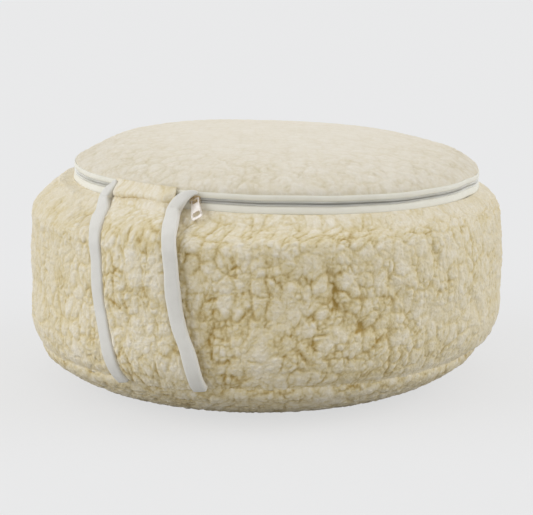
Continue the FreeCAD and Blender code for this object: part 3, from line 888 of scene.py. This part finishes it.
binding = {
    "width": 6.4,  # half of the folded tape's width
    "thick": 3.2,
    "off": 7.6,  # mm from the band to the middle of the tape
    "square": 0.5,  # lower is squarer in section
    # where the right tape curls over the zip: ring angle, radius, level, half width and half thickness
    "curl": (
        (-25.3, 206.5, -8.0, 5.9, 4.6),
        (-24.5, 206.0, -3.0, 5.7, 4.0),
        (-23.6, 204.2, 1.4, 5.2, 3.2),
        (-22.5, 201.8, 4.6, 4.2, 2.4),
        (-21.3, 200.2, 6.4, 2.9, 1.8),
        (-20.2, 199.6, 6.8, 1.6, 1.2),
    ),
    # where the left tape goes in under the end of the zip
    "tuck": (
        (-47.2, 206.8, -7.5, 5.8, 4.8),
        (-46.6, 206.0, -3.0, 5.4, 4.0),
        (-46.2, 203.6, 1.2, 4.6, 3.0),
        (-46.2, 200.6, 4.6, 3.6, 2.0),
        (-46.4, 198.8, 7.0, 2.6, 1.4),
    ),
}


def framesOf(spine, outward):
    # across the tape and out from the bed, both square to the spine
    along = np.gradient(spine, axis=0)
    along /= np.linalg.norm(along, axis=1, keepdims=True)
    side = np.cross(outward, along)
    side /= np.linalg.norm(side, axis=1, keepdims=True)
    out = np.cross(along, side)
    return side, out


def bindingTapeAlong(name, seam, ending, node):
    # up the panel's edge along the band, then through the ending's own places, as one smooth spine
    climb = np.linspace(5, 146, 20)
    phi = aboutLevel(seamAt(seam, climb), climb)
    low = bandOffset(phi, climb, np.full(20, binding["off"]))
    lowOut = low - bandOffset(phi, climb, np.full(20, binding["off"] - 4))
    end = np.array(ending)
    angle = np.radians(end[:, 0])
    high = onRing(angle, end[:, 1], end[:, 2])
    highOut = high - onRing(angle, end[:, 1] - 4, end[:, 2] - 1.5)
    knots = np.concatenate([low, high])
    outs = np.concatenate([lowOut, highOut])
    sizes = np.concatenate([np.tile((binding["width"], binding["thick"]), (20, 1)), end[:, 3:5]])
    gone = np.concatenate([[0], np.cumsum(np.linalg.norm(np.diff(knots, axis=0), axis=1))])
    at = np.linspace(0, gone[-1], 230)
    both = curveThrough(gone, np.concatenate([knots, outs, sizes], 1), at)
    spine, outward = both[:, :3], both[:, 3:6]
    outward = outward / np.linalg.norm(outward, axis=1, keepdims=True)
    side, across = framesOf(spine, outward)
    waver = 0.25 * np.sin(at / 11.0) + 0.15 * np.sin(at / 4.7 + 1)
    width, thick = both[:, 6] + waver, both[:, 7] + 0.15 * waver
    piece = sweepLoop(name, spine, side, across, width, thick, binding["square"], bindingTape, 36)
    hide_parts(node)


def bindings():
    bindingTapeAlong("binding_right_tape", "right", binding["curl"], "panel_binding_right")
    bindingTapeAlong("binding_left_tape", "left", binding["tuck"], "panel_binding_left")


closurePanel()
bindings()
print("closure panel and bindings made")

# zip

zipper = {
    "tapeStart": -27.0,
    "tapeSweep": 345.0,
    "coilStart": -25.4,
    "coilSweep": 341.0,
    "pitch": 1.5,  # mm from tooth to tooth
    "wire": 0.36,
    "coilRadius": 0.85,
    "coilLevel": 1.35,
}


def ringWaver(phi):
    # how far the zip wanders from its true level, in mm
    return 0.84 * bell(phi - 1.12, 0.09) + 0.25 * np.sin(phi * 7 + 1) + 0.15 * np.sin(phi * 19)


def zipTapeStrip(name, profile, node, body):
    # a closed section of (radius, level) points carried round the ring, with a cap at each end
    phi = np.radians(np.linspace(zipper["tapeStart"], zipper["tapeStart"] + zipper["tapeSweep"], 620))
    section = np.array(profile)
    n = len(section)
    radius, level = section[:, 0] + 0 * phi[:, None], section[:, 1] + ringWaver(phi)[:, None]
    points = onRing(np.repeat(phi[:, None], n, 1), radius, level)
    ends = np.stack([points[0].mean(0), points[-1].mean(0)])
    flatPoints = np.concatenate([points.reshape(-1, 3), ends])
    faces = [gridFaces(len(phi), n, wrapColumns=True)]
    i = np.arange(n)
    j = (i + 1) % n
    top = (len(phi) - 1) * n
    faces.append(np.stack([j, i, np.full(n, len(flatPoints) - 2)], -1))
    faces.append(np.stack([top + i, top + j, np.full(n, len(flatPoints) - 1)], -1))
    piece = makePiece(name, flatPoints, faces, zipTape, body)
    rim = np.concatenate([[0], np.cumsum(np.linalg.norm(np.diff(section, axis=0), axis=1))])
    uv = np.stack(np.broadcast_arrays(phi[:, None] * bed["zipRadius"], rim[None, :]), -1).reshape(-1, 2)
    uv = np.concatenate([uv, [[0, 0], [0, 0]]])
    giveUv(piece, uv)
    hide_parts(node)
    return piece


def coilRow(name, level, node, flip, body):
    # a wire wound round a small circle that is itself carried round the ring: a helix on a torus
    turns = round(math.radians(zipper["coilSweep"]) * bed["zipRadius"] / zipper["pitch"])
    perTurn, sides = 9, 5
    t = np.arange(turns * perTurn + 1) / perTurn * 2 * math.pi
    phi = math.radians(zipper["coilStart"]) + t / t[-1] * math.radians(zipper["coilSweep"])

    def wound(offset, extra):
        spin = t * flip + offset
        # the loops are a little wider than they are high, so they stand nearly flush with the tapes
        radius = bed["zipRadius"] + (zipper["coilRadius"] * 1.15 + extra) * np.sin(spin)
        height = level + (zipper["coilRadius"] + extra) * np.cos(spin) + ringWaver(phi)
        return onRing(phi, radius, height)

    spine = wound(0, 0)
    along = np.gradient(spine, axis=0)
    along /= np.linalg.norm(along, axis=1, keepdims=True)
    outward = wound(0, 0.4) - spine
    side = np.cross(along, outward)
    side /= np.linalg.norm(side, axis=1, keepdims=True)
    out = np.cross(side, along)
    a = np.arange(sides) / sides * 2 * math.pi
    wire = zipper["wire"]
    circle = side[:, None] * np.cos(a)[:, None] + out[:, None] * np.sin(a)[:, None]
    points = spine[:, None] + wire * circle
    flatPoints = np.concatenate([points.reshape(-1, 3), spine[:1], spine[-1:]])
    faces = [gridFaces(len(t), sides, wrapColumns=True)[:, ::-1]]
    i = np.arange(sides)
    j = (i + 1) % sides
    top = (len(t) - 1) * sides
    faces.append(np.stack([i, j, np.full(sides, len(flatPoints) - 2)], -1))
    faces.append(np.stack([top + j, top + i, np.full(sides, len(flatPoints) - 1)], -1))
    piece = makePiece(name, flatPoints, faces, nylonCoil, body)
    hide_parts(node)
    return piece


# each tape's section: radius and level in the ring's own frame, in mm
upperSection = (
    (194.8, 2.3),
    (195.5, 2.3),
    (196.0, 3.0),
    (196.3, 4.2),
    (196.3, 5.6),
    (196.0, 7.2),
    (194.8, 7.4),
    (194.6, 4.5),
)
lowerSection = (
    (194.8, -9.2),
    (196.6, -9.4),
    (197.0, -7.6),
    (196.7, -5.6),
    (196.1, -3.8),
    (195.5, -2.3),
    (194.8, -2.3),
    (194.6, -5.5),
)
upperTape = zipTapeStrip("zip_tape_upper_woven", upperSection, "zip_tape_upper", None)
zipTapeStrip("zip_tape_lower_woven", lowerSection, "zip_tape_lower", "cover")
upperCoil = coilRow("zip_coil_upper_wire", zipper["coilLevel"], "zip_coil_upper", 1, None)
coilRow("zip_coil_lower_wire", -zipper["coilLevel"], "zip_coil_lower", -1, "cover")
print("zip tapes and coils made")


def softened(name, node, body, material, bevel):
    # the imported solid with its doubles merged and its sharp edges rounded
    source = frame["nodes"][node]
    mesh = source.data.copy()
    piece = bpy.data.objects.new(name, mesh)
    scene.collection.objects.link(piece)
    mesh.materials.clear()
    mesh.materials.append(material)
    weld = piece.modifiers.new("weld", "WELD")
    weld.merge_threshold = 0.00002
    soft = piece.modifiers.new("soft", "BEVEL")
    soft.width = bevel * mm
    soft.segments = 3
    soft.limit_method = "ANGLE"
    soft.angle_limit = math.radians(28)
    soft.harden_normals = False
    evaluated = piece.evaluated_get(bpy.context.evaluated_depsgraph_get())
    final = bpy.data.meshes.new_from_object(evaluated)
    piece.modifiers.clear()
    piece.data = final
    final.name = name
    final.shade_smooth()
    final.set_sharp_from_angle(angle=math.radians(35))
    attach(piece, body)
    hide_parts(node)
    return piece


softened("zip_pull_tab_soft", "zip_pull_tab", "pull", tabLacquer, 0.28)
softened("zip_slider_body_soft", "zip_slider_body", "slider", sliderShadedLacquer, 0.25)
softened("zip_slider_bridge_soft", "zip_slider_bridge", "slider", sliderShadedLacquer, 0.14)
stops = {"zip_top_stop_upper": "lid", "zip_top_stop_lower": "cover", "zip_bottom_stop": "cover"}
for node, body in stops.items():
    softened(node + "_soft", node, body, stopMetal, 0.2)
print("slider, tab and stops made")

# insert: a cotton case stuffed with fibre

insert = {
    "columns": 240,
    "topRings": 26,
    "sideRows": 30,
    "pressure": 4.0,
    "cap": 4.5,  # mm that a point may move
    "gap": 14.0,  # mm inside the band's outer surface
    "girth": 215.0,  # mean radius, which turns an angle into mm round the case
}


def insertForm():
    # rows from the crown out over the dome, down the side and in under the bowl to the middle of the foot
    n = insert["columns"]
    phi = np.arange(n) / n * 2 * math.pi
    gap = insert["gap"] + 2.0
    rows = []
    along, r, z = arcTable(bed["domeRadius"] - gap, bed["domeRise"] - gap)
    for share in np.linspace(0.04, 1, insert["topRings"]):
        rr, zz = np.interp(share * along[-1], along, r), np.interp(share * along[-1], along, z)
        rows.append(onRing(phi, np.full(n, rr), np.full(n, zz + bed["domeStart"])))
    for climb in np.linspace(bandLength - 2, 2, insert["sideRows"]):
        rows.append(bandOffset(phi, np.full(n, climb), np.full(n, -gap)))
    middle = np.array(bed["levels"][0][1:4])
    along, r, z = arcTable(bed["bowlRadius"] - gap, bed["bowlDepth"] - gap)
    for share in np.linspace(0.97, 0.04, insert["topRings"]):
        rr = np.interp(share * along[-1], along, r)
        zz = min(np.interp(share * along[-1], along, z), middle[2] - gap)
        rows.append(np.stack([rr * np.sin(phi), -rr * np.cos(phi), 0 * phi - zz], -1) + middle)
    return phi, np.array(rows)


def stuffed(piece, cap):
    # blows the case up a little with Cloth and keeps the result; no point moves further than cap
    mesh = piece.data
    count = len(mesh.vertices)
    before = np.empty(count * 3, np.float32)
    mesh.vertices.foreach_get("co", before)
    cloth = piece.modifiers.new("cloth", "CLOTH")
    cloth.settings.quality = 5
    cloth.settings.mass = 0.3
    cloth.settings.tension_stiffness = 25
    cloth.settings.compression_stiffness = 12
    cloth.settings.bending_stiffness = 1.2
    cloth.settings.use_pressure = True
    cloth.settings.uniform_pressure_force = insert["pressure"]
    cloth.settings.effector_weights.gravity = 0
    cloth.settings.shrink_min = -0.025
    cloth.collision_settings.use_collision = False
    cloth.point_cache.frame_start = 1
    cloth.point_cache.frame_end = 20
    for step in range(1, 21):
        scene.frame_set(step)
    evaluated = piece.evaluated_get(bpy.context.evaluated_depsgraph_get())
    after = np.empty(count * 3, np.float32)
    evaluated.data.vertices.foreach_get("co", after)
    piece.modifiers.clear()
    scene.frame_set(1)
    move = (after - before).reshape(-1, 3)
    far = np.linalg.norm(move, axis=1, keepdims=True)
    move = move * np.minimum(1, cap * mm / np.maximum(far, 1e-9))
    mesh.vertices.foreach_set("co", (before.reshape(-1, 3) + move).astype(np.float32).ravel())
    mesh.update()


def cottonInsert():
    phi, rows = insertForm()
    count, n = rows.shape[:2]
    girth = insert["girth"]
    # light puckers along the two seams
    seam = np.zeros((count, n))
    for row in (insert["topRings"] - 1, insert["topRings"] + insert["sideRows"] - 1):
        away = np.abs(np.arange(count) - row)[:, None]
        pucker = 1.1 * drift(phi[None] * girth, away * 3.0, 9, 71 + row, 2 * math.pi * girth) - 0.9
        seam = seam + bell(away, 2.2) * pucker
    normal = normalsOf(rows, True)
    rows = rows - normal * seam[..., None]
    points = np.concatenate([rows.reshape(-1, 3), rows[0].mean(0)[None], rows[-1].mean(0)[None]])
    i = np.arange(n)
    j = (i + 1) % n
    last = (count - 1) * n
    faces = [
        gridFaces(count, n, wrapColumns=True)[:, ::-1],
        np.stack([i, j, np.full(n, len(points) - 2)], -1),
        np.stack([last + j, last + i, np.full(n, len(points) - 1)], -1),
    ]
    piece = makePiece("insert_case_cotton", points, faces, caseCotton, "cover")
    gone = np.concatenate([[0], np.cumsum(np.linalg.norm(np.diff(rows[:, 0], axis=0), axis=1))])
    uv = np.stack(np.broadcast_arrays(phi[None] * girth, gone[:, None]), -1).reshape(-1, 2)
    giveUv(piece, np.concatenate([uv, [[0, 0], [0, gone[-1]]]]))
    stuffed(piece, insert["cap"])
    fine = piece.modifiers.new("fine", "SUBSURF")
    fine.levels = 1
    fine.render_levels = 1
    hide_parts("insert_top_panel", "insert_side_band", "insert_bottom_panel", "insert_fill")


cottonInsert()
print("insert made")

# the lid's pieces: the way in from its hinge towards the middle of the zip, and their places baked into
# their points

inward = zipCentre * mm - hingeAt
inward[2] = 0
inward /= np.linalg.norm(inward)
for piece in (lid, upperTape, upperCoil):
    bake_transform(piece)

# floor and light

studio = {
    "paper": 0.815,  # the floor's own pale grey, as seen
    "seen": 0.80,  # share of the seen floor that is even paper; the rest takes the shadow
    "sky": 0.60,
    # each soft light: direction it comes from, strength and spread in degrees
    "left": ((-0.95, -0.20, 0.30), 1.7, 60.0),
    "right": ((0.95, -0.10, 0.30), 1.5, 60.0),
}

# seamless studio paper: matt, and lit evenly enough that only the shadow under the bed shows
paper, tree, shader = newMaterial("seamless_paper", Roughness=0.9)
shader.inputs["Specular IOR Level"].default_value = 0.0
shader.inputs["Base Color"].default_value = (0.5, 0.5, 0.5, 1)  # what the bed's underside sees
end = next(node for node in tree.nodes if node.type == "OUTPUT_MATERIAL")
level = studio["paper"]
glow = addNode(tree, "ShaderNodeEmission", {"Color": (level, level, level, 1)}).outputs[0]
matt = addNode(tree, "ShaderNodeBsdfDiffuse", {"Color": (0.9, 0.9, 0.9, 1)}).outputs[0]
seen = addNode(tree, "ShaderNodeMixShader", {0: studio["seen"], 1: matt, 2: glow}).outputs[0]
direct = addNode(tree, "ShaderNodeLightPath").outputs["Is Camera Ray"]
whole = addNode(tree, "ShaderNodeMixShader", {0: direct, 1: shader.outputs[0], 2: seen}).outputs[0]
tree.links.new(whole, end.inputs["Surface"])
half = 60000.0
floorPoints = np.array([(-half, -half, 0), (half, -half, 0), (half, half, 0), (-half, half, 0)])
floor = makePiece("studio_floor", floorPoints, [np.array([[0, 1, 2, 3]])], paper, None)

world = bpy.data.worlds.new("studio")
world.use_nodes = True
scene.world = world
sky = next(node for node in world.node_tree.nodes if node.type == "BACKGROUND")
sky.inputs["Color"].default_value = (1, 1, 1, 1)
sky.inputs["Strength"].default_value = studio["sky"]

for side in ("left", "right"):
    fromWhere, strength, spread = studio[side]
    lampData = bpy.data.lights.new(side, "SUN")
    lampData.energy = strength
    lampData.color = (0.96, 1.0, 1.10)
    lampData.angle = math.radians(spread)
    lamp = bpy.data.objects.new(side, lampData)
    lamp.rotation_euler = (-Vector(fromWhere)).to_track_quat("-Z", "Y").to_euler()
    scene.collection.objects.link(lamp)
print("floor and light made")
